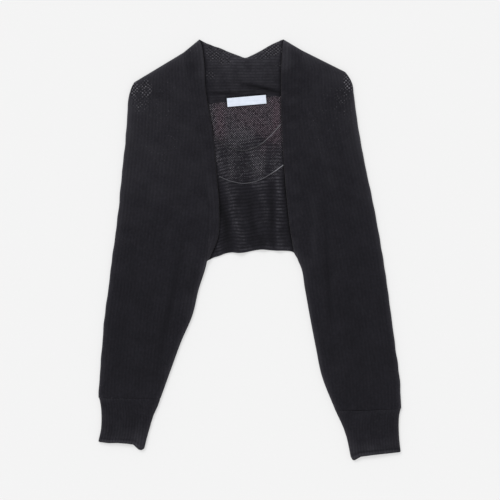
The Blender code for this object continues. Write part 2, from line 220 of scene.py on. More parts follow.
BACK_PAINTED_SHADING = (
    (((-60, 196), (-58.5, 180), (-57, 165), (-51, 148), (-44, 118)), 0.5, 5),
    (((-64, 204), (-61.5, 165), (-59.5, 134)), 0.62, 3.6),
    (((-44, 120), (-37, 92), (-31, 70), (-25, 48), (-20, 28), (-16, 8), (-15, -4)), 0.36, 8),
    (((6, 190), (9, 150), (11, 110)), 0.6, 9), (((17, 176), (19, 120), (25, 72), (32, 22)), 0.2, 7),
    (((47, 204), (50, 130), (51, 80), (50, 30), (52, -4)), 0.33, 7),
    (((-40, 178), (-35, 138)), -0.16, 7), (((-66, 225), (-64, 190)), -0.35, 4),
    (((-57, 116), (-52, 90), (-46, 62), (-42, 44), (-39, 28), (-37, 6), (-36, -22)), -0.9, 8.5),
    (((-55, 56), (-53, 30), (-57, 0)), 0.42, 4), (((-28, 186), (-24, 124)), -0.28, 9),
    (((-16, 176), (-12, 140), (-6, 108)), -0.3, 8), (((-4, 112), (3, 60), (8, -6)), -0.6, 7),
    (((38, 122), (39, 60), (40, -6)), -0.8, 5), (((57, 142), (66, 100), (71, 50), (76, -6)), -0.8, 6.5),
    (((18, 30), (21, -6)), -0.5, 8),
)
LEFT_CUFF_PAINTED_SHADING = (
    (((-252, -328), (-218, -332), (-190, -346)), 0.16, 18), (((-197, -322), (-190, -346)), 0.24, 9),
)
RIGHT_CUFF_PAINTED_SHADING = (
    (((185, -356), (220, -350), (250, -342)), 0.16, 18), (((180, -342), (185, -362)), 0.22, 9),
)
STAND_FOOT = ((-80, 271), (-50, 271), (-14, 269))
STAND_EDGE = ((-16, 287), (12, 282.5), (30, 278.5), (70, 266))
NECK_PAINTED_SHADING = (
    (((-72, 348), (-50, 334), (-26, 330)), 0.46, 14), (((8, 334), (30, 341), (54, 350)), 0.46, 12),
    (((-50, 312), (0, 306), (48, 308)), 0.13, 22), (STAND_FOOT, -0.42, 2.2), (STAND_EDGE, -1, 3.4),
    (((24, 269), (44, 265), (66, 263)), 0.1, 4),
)
BAND_PAINTED_SHADING = (
    (((-92, 384), (-83, 348), (-79, 318), (-77, 286)), 0.34, 9),
    (((60, 386), (64, 350), (62, 326), (58, 304)), 0.34, 10),
)

# Light from the pale floor in the loose fibres along the garment's outline: strength and reach,
# near the edge and farther in. It grows no more within the last stretch.
RIM_LIGHT = ((0.70, 3.2), (0.17, 16.0))
RIM_LIGHT_FROM = 1.5
OUTLINE_POINTS = 24
# The close ribs of the cuffs catch less of it.
CUFF_RIM = 0.6

# Creases pressed into the neck band: points along each, its depth and its half width
NECK_CREASES = (
    (STAND_FOOT, -0.9, 1.8), (STAND_EDGE, -2, 2.6), (((-8, 293), (24, 289), (54, 281)), 0.9, 3.4),
)

# Places where the stitches stand open and the pale ground shows through: centre, radii, strength.
# Each fades out round its radii.
SPOT_REACH = 1.45
OPEN_FRONT = (
    (-202, 281, 9, 16, 0.58), (-182, 279, 12, 18, 0.5), (-191, 262, 20, 26, 0.34),
    (-165, 215, 50, 80, 0.13), (174, 293, 11, 19, 0.62), (147, 316, 6, 7, 0.28),
    (162, 268, 16, 20, 0.32), (160, 240, 16, 24, 0.18), (150, 225, 45, 70, 0.11),
    (-112, 346, 22, 10, 0.24),
)
OPEN_NECK = (
    (-62, 342, 17, 17, 0.48), (-52, 328, 9, 7, 0.5), (-37, 325, 9, 5, 0.42), (-44, 338, 17, 10, 0.48),
    (-69, 304, 9, 9, 0.4), (38, 348, 20, 12, 0.62), (20, 337, 18, 9, 0.43), (52, 320, 8, 10, 0.28),
)
# The upper back stands open. It closes from the first height to the second, and half open
# stretches go on below to the third.
OPEN_BACK_FULL = 206.0
OPEN_BACK_HALF = 152.0
OPEN_BACK_END = 104.0
OPEN_BACK_FADE = 30.0
OPEN_BACK_REST = 0.66
OPEN_BACK_STREAKS = (
    (((-42, 118), (-38, 100), (-34, 82)), 0.5, 7), (((-32, 80), (-24, 44), (-17, 4)), 0.3, 9),
    (((18, 112), (24, 76), (30, 30)), 0.24, 7), (((-52, 40), (-49, 0)), 0.14, 3.5),
    (((2, 182), (8, 152), (12, 122)), 0.95, 11), (((-61, 196), (-57, 165), (-50, 138)), 0.74, 6.5),
    (((-50, 202), (-44, 168), (-38, 140)), 0.5, 8), (((27, 196), (23, 160), (24, 126)), 0.8, 10),
)

# Warmer places of the open back: points along each, strength and half width
BACK_BLUSH = (
    (((-54, 262), (-52, 228), (-52, 186)), 0.62, 10), (((48, 276), (47, 230), (44, 172)), 0.62, 11),
    (((-34, 252), (0, 252), (34, 256)), 0.5, 16), (((-30, 226), (0, 222), (28, 226)), 0.34, 16),
    (((18, 216), (24, 196), (28, 172)), 0.42, 13),
)

# Dots of pale ground in an open knit: distance along X and along Y, waver in turns, and how pale
# they are
FRONT_EYELETS = (6.4, 6.2, 0.9, 1.12)
BACK_EYELETS = (3.9, 4.1, 0.4, 0.98)
NECK_EYELETS = (6.4, 5.4, 0.8, 0.75)
DOT_DRIFTS = (77.0, 59.0)

# Ribs: how full their crests are, distance from crest to crest, and relief
RIB_FULLNESS = 0.7
SLEEVE_PITCH = 6.0
BACK_PITCH = 5.9
CUFF_PITCH = 4.9
SLEEVE_RELIEF = 0.42
BACK_RELIEF = 0.95
OPEN_RELIEF = 0.5
NECK_RELIEF = 0.28
NECK_PITCH = 5.1
NECK_TOP = 366.0
CUFF_RELIEF = 0.7
RIB_SINK = 0.25

# Irregular waves: how many are added up, their lengths, and what their sum is divided by
WAVES = 7
WAVE_LENGTHS = (0.6, 1.9)
WAVE_SUM = 3.0

# A fold's steps along it in half widths, the least number of them, how its ends fade, and how
# much and how often its width wavers
FOLD_STEP = 0.4
FOLD_STEPS_LEAST = 12
FOLD_FADE = 0.8
FOLD_WAVER = 0.18
FOLD_WAVES = 10.2

# How far a piece's edge passes under the next one at a seam, so that no gap shows
LAP = 0.8

# Mesh: distances from an edge at which it is cut, then steps down a piece and columns across its
# layers
ROUND_STEPS = (0.0, 0.12, 0.45, 1.0, 1.7, 2.6, 3.6)
RIM_STEPS = (0.0, 0.1, 0.35, 0.75, 1.3)
LABEL_END_STEPS = (0.0, 0.1, 0.35)
LABEL_SIDE_STEPS = (0.0, 0.1, 0.3)
BAND_SEAM_STEPS = (0.0, 0.25, 0.8)
BAND_FREE_STEPS = (2.4, 1.6, 0.9, 0.4, 0.1, 0.0)
HALF_MESH = (3.9, 140, 92)
CUFF_MESH = (2.6, 110, 64)
BAND_MESH = (3.0, 54)

# Floor, and strength of the light from all round and from the lamp
FLOOR_REACH = 12.0
FLOOR_Z = -0.0003
WORLD_LIGHT = 0.905
SUN_LIGHT = 2.2


def blend(a, b, t):
    return a + (b - a) * t


def smooth_step(t):
    t = np.clip(t, 0.0, 1.0)
    return t * t * (3 - 2 * t)


def dome(t):
    """A low arch over 0 to 1, with its top of 1 in the middle."""
    return 4 * t * (1 - t)


def bell(distance, reach):
    """1 at no distance, fading softly to both sides."""
    return np.exp(-(distance / reach) ** 2)


def quarter_round(distance, radius):
    """0 at an edge, rising as a quarter circle to 1 at the radius."""
    t = np.clip(distance / radius, 0.0, 1.0)
    return np.sqrt(np.maximum(1 - (1 - t) ** 2, 0.0))


def closed_round(distance):
    """Rounding of a closed edge, on its wall's outer side and on its inner one."""
    return quarter_round(distance, CLOSED_ROUND), quarter_round(distance - WALL, CLOSED_ROUND_INSIDE)


def rib_profile(ribs):
    """Round crests with narrow valleys between them. ribs counts crests across."""
    return np.abs(np.sin(np.pi * ribs)) ** RIB_FULLNESS


def unevenness(x, y, seed, size):
    """Smooth irregular waves of about 1 high, with lengths around size."""
    draws = np.random.default_rng(seed)
    total = np.zeros_like(x)
    for _ in range(WAVES):
        length = size * draws.uniform(*WAVE_LENGTHS)
        angle = draws.uniform(0, 2 * math.pi)
        phase = draws.uniform(0, 2 * math.pi)
        along = x * math.cos(angle) + y * math.sin(angle)
        total += np.sin(2 * math.pi * along / length + phase)
    return total / WAVE_SUM


def turned(x, y, angle):
    return x * math.cos(angle) - y * math.sin(angle), x * math.sin(angle) + y * math.cos(angle)


def between(first, last, share):
    """x and y at a share of the way from the first places to the last."""
    x, y = (blend(first[..., axis], last[..., axis], share) for axis in (0, 1))
    return x, y


def points_of(*values):
    return np.stack(np.broadcast_arrays(*values), axis=-1)


def sides_at(x, y, out, low):
    return points_of(x, y, out), points_of(x, y, low)


def smooth_through(places, values, wanted):
    """Values at the wanted places, on a smooth curve through those given."""
    places = np.asarray(places)
    values = np.asarray(values)
    gap = np.diff(places)
    slope = np.diff(values, axis=0) / gap[:, None]
    weight_before, weight_after = gap[1:, None], gap[:-1, None]
    middle = (slope[:-1] * weight_before + slope[1:] * weight_after) / (weight_before + weight_after)
    slopes = np.vstack([slope[:1], middle, slope[-1:]])
    index = np.clip(np.searchsorted(places, wanted, side="right") - 1, 0, len(gap) - 1)
    width = gap[index][:, None]
    t = (np.asarray(wanted) - places[index])[:, None] / width
    start, end = values[index], values[index + 1]
    rise_start, rise_end = slopes[index] * width, slopes[index + 1] * width
    bend = t * (1 - t) * (rise_start * (1 - t) - rise_end * t)
    return blend(start, end, t * t * (3 - 2 * t)) + bend


def lengths_along(points):
    """Distance of each point from the first one, along the line through them."""
    points = np.asarray(points)
    return np.concatenate([[0.0], np.cumsum(np.hypot(*np.diff(points, axis=0).T))])


def curve_through(points, count):
    """Evenly spread points on a smooth curve through those given."""
    along = lengths_along(points)
    return smooth_through(along, points, np.linspace(0, along[-1], count))


def stations(length, step, edge=RIM_STEPS, end_edge=None):
    """Distances along a piece: close together over its edges and evenly spread between them."""
    first = list(edge)
    last = [length - distance for distance in reversed(end_edge or edge)]
    count = max(int(round((last[0] - first[-1]) / step)), 1)
    middle = np.linspace(first[-1], last[0], count + 1)
    return np.concatenate([first[:-1], middle, last[1:]])


def sections(table, step, start_edge):
    """Sections down a piece, each from one end to another, at steps between a table's rows.

    Gives how far down each section and each row of the table lies, both ends of the sections,
    their width, and the table's other values.
    """
    values = np.array(table)
    places = (lengths_along(values[:, 0:2]) + lengths_along(values[:, 2:4])) / 2
    down = stations(places[-1], step, start_edge, RIM_STEPS)
    rows = smooth_through(places, values, down)
    first, last = rows[:, None, 0:2], rows[:, None, 2:4]
    width = np.hypot(last[..., 0] - first[..., 0], last[..., 1] - first[..., 1])
    return down[:, None], places, first, last, width, rows[:, 4:]


def ridge_height(x, y):
    """Height of the back's soft ridges, which fade at both ends."""
    height = np.zeros_like(x)
    for start_x, start_y, end_x, end_y, top, width in BACK_RIDGES:
        run_x, run_y = end_x - start_x, end_y - start_y
        length = math.hypot(run_x, run_y)
        along = ((x - start_x) * run_x + (y - start_y) * run_y) / length
        across = ((x - start_x) * run_y - (y - start_y) * run_x) / length
        fade = smooth_step(along / RIDGE_FADE) * smooth_step((length - along) / RIDGE_FADE + 0.5)
        height += top * fade * bell(across, width)
    return height


def fold_height(folds, x, y):
    """Height of soft folds that run along curves and fade out at both ends."""
    total = np.zeros_like(x)
    for points, top, width in folds:
        count = max(int(lengths_along(points)[-1] / (width * FOLD_STEP)), FOLD_STEPS_LEAST)
        strongest = np.zeros_like(total)
        for step, (centre_x, centre_y) in enumerate(curve_through(points, count)):
            fade = math.sin(math.pi * (step + 0.5) / count) ** FOLD_FADE
            spread = width * (1 + FOLD_WAVER * math.sin(FOLD_WAVES * step / count))
            near = np.exp(-((x - centre_x) ** 2 + (y - centre_y) ** 2) / spread ** 2)
            strongest = np.maximum(strongest, fade * near)
        total += top * strongest
    return total


def openness(spots, x, y):
    """How far the stitches stand open at each place, from 0 to 1."""
    total = np.zeros_like(x)
    for centre_x, centre_y, radius_x, radius_y, strength in spots:
        far = ((x - centre_x) / radius_x) ** 2 + ((y - centre_y) / radius_y) ** 2
        total = np.maximum(total, strength * smooth_step(SPOT_REACH - far))
    return total


def back_openness(x, y):
    """The upper back stands open. It closes slowly and unevenly downwards."""
    level = y + 9.0 * unevenness(x, y * 0.4, 97, 40.0)
    full = smooth_step((level - OPEN_BACK_HALF) / (OPEN_BACK_FULL - OPEN_BACK_HALF))
    rest = smooth_step((level - OPEN_BACK_END) / OPEN_BACK_FADE)
    rest = OPEN_BACK_REST * rest * (0.75 + 0.35 * unevenness(x, y * 0.2, 98, 26.0))
    return np.maximum(full, np.maximum(rest, fold_height(OPEN_BACK_STREAKS, x, y)))


def outline_runs():
    """The garment's outline seen from above, in smooth runs of points."""
    back = np.array(BACK)
    runs = [back[:, 0:2], back[:, 4:6]]
    for half, cuff, tip in ((LEFT_HALF, LEFT_CUFF, back[0]), (RIGHT_HALF, RIGHT_CUFF, back[-1])):
        sleeve, mouth = np.array(half), np.array(cuff)
        runs += [sleeve[:, 0:2], sleeve[BODY_ROWS - 1:, 2:4], mouth[:, 0:2], mouth[:, 2:4]]
        runs += [mouth[-1, :4].reshape(2, 2), np.array((tip[0:2], sleeve[0, 2:4], sleeve[0, 0:2]))]
    return [curve_through(run, OUTLINE_POINTS) if len(run) > 3 else run for run in runs]


def rim_light(x, y):
    """How much light the knit catches near the garment's outline."""
    nearest = np.full(np.shape(x), np.inf)
    for run in outline_runs():
        for start, end in zip(run[:-1], run[1:]):
            way = end - start
            share = ((x - start[0]) * way[0] + (y - start[1]) * way[1]) / (way @ way)
            near_x, near_y = between(start, end, np.clip(share, 0.0, 1.0))
            nearest = np.minimum(nearest, np.hypot(x - near_x, y - near_y))
    nearest = np.maximum(nearest, RIM_LIGHT_FROM)
    return sum(strength * np.exp(-nearest / reach) for strength, reach in RIM_LIGHT)


def plain_tone(x, y, tones, uneven, seed, size, rim=1.0):
    """Painted light and shade on a knit: painted lighter and darker stretches, random unevenness, and
    painted light along the outline.
    """
    return fold_height(tones, x, y) + uneven * unevenness(x, y, seed, size) + rim * rim_light(x, y)


def shades(x, y):
    """Dark shade beside the bands' free edges, and round the label's upper and left edges."""
    strength, reach = BAND_SHADE
    bands = np.zeros_like(x)
    for edge in (LEFT_FREE_EDGE, RIGHT_FREE_EDGE):
        places = np.array(edge[::-1])
        bands = np.maximum(bands, bell(x - np.interp(y, places[:, 1], places[:, 0]), reach))
    bands = strength * bands
    strength, reach = LABEL_SHADE
    length, height, _ = LABEL_SIZE
    across, up = turned(x - LABEL_CENTRE[0], y - LABEL_CENTRE[1], -LABEL_TILT)
    past_end = np.maximum(np.abs(across + LABEL_SHADE_SHIFT) - length / 2, 0.0)
    past_side = np.maximum(np.abs(up - LABEL_SHADE_SHIFT) - height / 2, 0.0)
    return bands + strength * bell(np.hypot(past_end, past_side), reach)


def placed(name, data):
    """A new object in the scene."""
    thing = bpy.data.objects.new(name, data)
    bpy.context.scene.collection.objects.link(thing)
    return thing


def finished(name, data, material):
    """Put a piece into the scene with its material, riding on the garment's body."""
    data.materials.append(material)
    piece = placed(name, data)
    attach(piece, BODY)
    return piece


def knit_piece(name, sides, uv, material, tube=False, **fields):
    """Cloth between two like grids of points, rows by columns, with its edges closed.

    A tube's columns run all the way round, and its uv has one column more than its points.
    fields are values for each place of the grid that the material reads.
    """
    rows, columns = sides[0].shape[:2]
    points = np.concatenate([side.reshape(-1, 3) for side in sides]) * MM
    grid = np.arange(rows * columns).reshape(rows, columns)
    if tube:
        grid = np.hstack([grid, grid[:, :1]])
    inner = grid + rows * columns

    def corners(values):
        around = (values[:-1, :-1], values[1:, :-1], values[1:, 1:], values[:-1, 1:])
        return np.stack(around, axis=2).reshape(-1, 4, *values.shape[2:])

    edges = [(grid[row], inner[row], uv[row], turn) for row, turn in ((0, -1), (-1, 1))]
    if not tube:
        edges += [(grid[:, row], inner[:, row], uv[:, row], turn) for row, turn in ((0, 1), (-1, -1))]
    parts = [(grid, uv, 1), (inner, uv, -1)]
    parts += [(np.stack([one, other]), np.stack([at, at]), turn) for one, other, at, turn in edges]
    faces = np.concatenate([corners(part)[:, ::turn] for part, _, turn in parts])
    places = np.concatenate([corners(part)[:, ::turn] for _, part, turn in parts])
    a, b, c, d = (points[faces[:, corner]] for corner in range(4))
    volume = np.sum(a * (np.cross(b, c) + np.cross(c, d)))
    if volume < 0:
        faces = faces[:, ::-1]
        places = places[:, ::-1]
    mesh = bpy.data.meshes.new(name)
    mesh.from_pydata(points.tolist(), [], faces.tolist())
    layer = mesh.uv_layers.new(name=UV_NAME)
    layer.data.foreach_set("uv", (places * MM).astype(np.float32).ravel())
    for field, values in fields.items():
        both = np.tile(np.broadcast_to(values, (rows, columns)).ravel(), 2).astype(np.float32)
        mesh.attributes.new(field, "FLOAT", "POINT").data.foreach_set("value", both)
    mesh.shade_smooth()
    return finished(name, mesh, material)


class Value:
    """A number or colour that shader nodes work out. Arithmetic with it adds a node."""

    def __init__(self, nodes, socket):
        self.nodes = nodes
        self.socket = socket

    def __add__(self, other):
        return self.nodes.math("ADD", self, other)

    def __sub__(self, other):
        return self.nodes.math("SUBTRACT", self, other)

    def __rsub__(self, other):
        return self.nodes.math("SUBTRACT", other, self)

    def __mul__(self, other):
        return self.nodes.math("MULTIPLY", self, other)

    def __truediv__(self, other):
        return self.nodes.math("DIVIDE", self, other)


class Nodes:
    """Short calls for building a material out of shader nodes."""

    def __init__(self, name):
        self.material = bpy.data.materials.new(name)
        self.material.use_nodes = True
        self.tree = self.material.node_tree
        self.shader = self.tree.nodes["Principled BSDF"]

    def put(self, socket, value):
        if isinstance(value, Value):
            self.tree.links.new(value.socket, socket)
        else:
            socket.default_value = (*value, 1.0) if isinstance(value, tuple) else value

    def add(self, kind, *values, inputs=None, output=0, **settings):
        """What a new node works out, from its settings and inputs."""
        node = self.tree.nodes.new("ShaderNode" + kind)
        for setting, value in settings.items():
            setattr(node, setting, value)
        for place, value in (*enumerate(values), *(inputs or {}).items()):
            self.put(node.inputs[place], value)
        return Value(self, node.outputs[output])

    def math(self, operation, *values):
        return self.add("Math", *values, operation=operation)

    def sine(self, value):
        return self.math("SINE", value)

    def fraction(self, value):
        return self.math("FRACT", value)

    def mix(self, share, a, b):
        return self.add("Mix", data_type="RGBA", inputs={"Factor": share, 6: a, 7: b}, output=2)

    def ramp(self, value, low, high, start=0.0, end=1.0):
        return self.add("MapRange", value, low, high, start, end, interpolation_type="SMOOTHSTEP")

    def noise(self, scale, detail=2.0, place=None):
        inputs = {"Scale": scale, "Detail": detail}
        return self.add("TexNoise", place or self.object_place(), inputs=inputs)

    def object_place(self):
        return self.add("TexCoord", output="Object")

    def across_and_along(self, place):
        return [self.add("SeparateXYZ", place, output=axis) for axis in (0, 1)]

    def knit_place(self):
        """Places on the cloth itself, across the ribs and along them."""
        return self.across_and_along(self.add("UVMap", uv_map=UV_NAME))

    def attribute(self, name):
        return self.add("Attribute", attribute_name=name, output="Fac")

    def bump(self, height, distance, strength):
        inputs = {"Height": height, "Distance": distance, "Strength": strength}
        self.put(self.shader.inputs["Normal"], self.add("Bump", inputs=inputs))

    def shader_values(self, **values):
        for name, value in values.items():
            self.put(self.shader.inputs[name.replace("_", " ")], value)


def stitches(nodes, wale):
    """Height of V-shaped stitches, 0 in the gaps and 1 on the yarn."""
    across, along = nodes.knit_place()
    across = across / (wale * MM)
    side = nodes.math("ABSOLUTE", nodes.fraction(across) - 0.5)
    slanted = along / (COURSE * MM) + side * STITCH_SLANT
    yarn = nodes.sine(nodes.fraction(slanted) * math.pi)
    leg = nodes.sine(nodes.fraction(across * 2.0) * math.pi)
    return nodes.math("POWER", yarn * leg, YARN_FULLNESS)


def dots(nodes, size_x, size_y, waver):
    """Small round places where the ground shows between open stitches, in wavering rows."""
    waves = []
    places = nodes.across_and_along(nodes.object_place())
    for place, size, drift in zip(places, (size_x, size_y), DOT_DRIFTS):
        turns = place / (size * MM) + (nodes.noise(drift, 1.0) - 0.5) * waver
        waves.append(nodes.sine(turns * (2 * math.pi)))
    return waves[0] * waves[1]


def opened_colour(nodes, open_share, eyelets, crest, crisp):
    """Dark yarn with pale dots of ground between the stitches. Attribute blush warms both.

    A half open knit shows its dots in lines, because the valleys between its ribs stay closed.
    """
    *spread, pale = eyelets
    blush = nodes.attribute("blush")
    specks = (tuple(pale * part for part in colour) for colour in (SPECK, SPECK_WARM))
    speck = nodes.mix(blush, *specks)
    hole = nodes.mix(blush, HOLE, HOLE_WARM)
    peaks = nodes.ramp(dots(nodes, *spread), 0.0, 0.62)
    some = nodes.ramp(nodes.noise(520.0), 0.34, 0.62, 0.06, 1.0)
    some = some * nodes.ramp(open_share, 0.1, 0.9, 0.45, 1.0)
    closed = (1.0 - crest) * nodes.ramp(open_share, 0.6, 1.0, 0.5 * crisp, 0.1 * crisp)
    return nodes.mix(peaks * (some * (1.0 - closed)), hole, speck)


def knit_material(name, pitch, crisp, wale=3.0, eyelets=None):
    """Matte black knit. crisp is how much painted highlight makes its ribs' crests stand out as lighter
    lines.

    The shading attribute paints light on the crests, in dashes, where it is above 0, and paints shade
    where it is below. A knit that opens has eyelets, which say how its dots of pale ground lie.
    Attribute open says where they show.
    """
    nodes = Nodes(name)
    across, along = nodes.knit_place()
    yarn = stitches(nodes, wale)
    fibres = nodes.noise(1900.0)
    cloudy = nodes.noise(26.0, 3.0)
    mottled = nodes.noise(300.0)
    wave = nodes.sine(across * (math.pi / (pitch * MM)))
    crest = nodes.ramp(nodes.math("ABSOLUTE", wave), 0.45, 1.0)
    share = yarn * nodes.ramp(cloudy, 0.3, 0.7, 0.35, 0.8)
    # Random fibres and mottling, and painted highlight on the ribs' crests
    for value, strength in ((fibres, 0.7), (mottled, 1.7), (crest, 0.12 + 0.2 * crisp)):
        share = share + (value - 0.5) * strength
    colour = nodes.mix(share, YARN_DARK, YARN_LIGHT)
    # Painted light on the rib crests, in dashes, where the shading attribute is above 0, and painted
    # shade where it is below
    tone = nodes.attribute("tone")
    spots = nodes.add("CombineXYZ", across / (5.0 * MM), along / (4.2 * MM))
    dashes = nodes.ramp(nodes.noise(1.0, 2.0, spots), 0.34, 0.62, 0.12, 1.0)
    sparkle = crest * dashes * (1.1 * crisp) + (0.1 + 0.35 * (1 - crisp))
    lit = nodes.math("MAXIMUM", tone, 0.0) * sparkle
    shaded = nodes.math("MAXIMUM", tone * -1.0, 0.0)
    colour = nodes.mix(shaded, nodes.mix(lit, colour, YARN_LIT), YARN_SHADE)
    if eyelets:
        opened = nodes.attribute("open")
        fine = (nodes.noise(560.0, 1.0) - 0.5) * 1.5
        broad = (nodes.noise(110.0) - 0.5) * 0.7
        edge = nodes.ramp(opened + (fine + broad), 0.25, 0.7)
        open_share = edge * nodes.math("GREATER_THAN", opened, 0.02)
        colour = nodes.mix(open_share, colour, opened_colour(nodes, opened, eyelets, crest, crisp))
    nodes.bump(yarn + fibres * 0.35, 0.00045, 0.7)
    nodes.shader_values(
        Base_Color=colour,
        Roughness=nodes.ramp(fibres, 0.3, 0.7, 0.8, 0.98),
        Specular_IOR_Level=0.12,
        Sheen_Weight=0.08,
        Sheen_Roughness=0.45,
        Sheen_Tint=(1.0, 0.95, 0.97),
    )
    return nodes.material


def label_material():
    """White woven satin: fine weft lines and a soft shine."""
    nodes = Nodes("label_satin")
    across, along = nodes.knit_place()
    weft, warp = (
        nodes.sine(place * (2 * math.pi / (pitch * MM))) for place, pitch in ((along, 0.7), (across, 1.1))
    )
    weave = weft * warp
    cloudy = nodes.noise(90.0)
    share = nodes.ramp(weave * 0.25 + cloudy, 0.2, 0.8)
    nodes.bump(weave, 0.00008, 0.5)
    nodes.shader_values(
        Base_Color=nodes.mix(share, SATIN_DARK, SATIN_LIGHT),
        Roughness=nodes.ramp(cloudy, 0.3, 0.7, 0.38, 0.55),
        Specular_IOR_Level=0.4,
        Sheen_Weight=0.1,
    )
    return nodes.material


def loop_material(name, shade, light, dim_x, bright_x):
    """Fine smooth pale cord with the turn of its strands. Its left stretch is in shade."""
    nodes = Nodes(name)
    place = nodes.object_place()
    inputs = {"Scale": 420.0, "Distortion": 0.6}
    twist = nodes.add("TexWave", place, bands_direction="DIAGONAL", inputs=inputs, output=1)
    across, _ = nodes.across_and_along(place)
    dim, strands = (
        nodes.mix(twist, *(tuple(level * part for part in tint) for tint in tints))
        for level, tints in zip((shade, light), STRAND_TINTS)
    )
    nodes.bump(twist, 0.00012, 0.6)
    nodes.shader_values(
        Base_Color=nodes.mix(nodes.ramp(across, dim_x * MM, bright_x * MM), dim, strands),
        Roughness=nodes.ramp(twist, 0.0, 1.0, 0.3, 0.5),
        Specular_IOR_Level=0.3,
    )
    return nodes.material


def set_camera():
    data = bpy.data.cameras.new("camera")
    data.sensor_fit = "HORIZONTAL"
    data.sensor_width = SENSOR_WIDTH
    data.lens = SENSOR_WIDTH * (CAMERA_HEIGHT - GARMENT_HEIGHT) / VIEW_WIDTH
    data.dof.use_dof = False
    camera = placed("camera", data)
    camera.location = (VIEW_CENTRE[0] * MM, VIEW_CENTRE[1] * MM, CAMERA_HEIGHT * MM)
    bpy.context.scene.camera = camera


def inside_loop(name, route, node, material):
    """A fine round cord that lies across the inside of the back between the two bands."""
    along = np.arange(len(route))
    steps = int(round(lengths_along(route)[-1] / LOOP_STEP))
    places = smooth_through(along, route, np.linspace(0, along[-1], steps + 1))
    z = ridge_height(places[:, 0], places[:, 1]) + BACK_PLANE + CLEAR + LOOP_RADIUS
    path = np.column_stack([places, z]) * MM
    curve = bpy.data.curves.new(name, "CURVE")
    curve.dimensions = "3D"
    curve.bevel_depth = LOOP_RADIUS * MM
    curve.bevel_resolution = 4
    curve.use_fill_caps = True
    spline = curve.splines.new("POLY")
    spline.points.add(len(path) - 1)
    spline.use_smooth = True
    for target, point in zip(spline.points, path):
        target.co = (*point, 1.0)
    piece = finished(name, curve, material)
    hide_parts(node)


def joined(stretches):
    """Outer points, inner points and distances round of all the stretches across a tube."""
    return (np.concatenate(parts, axis=1) for parts in zip(*stretches))


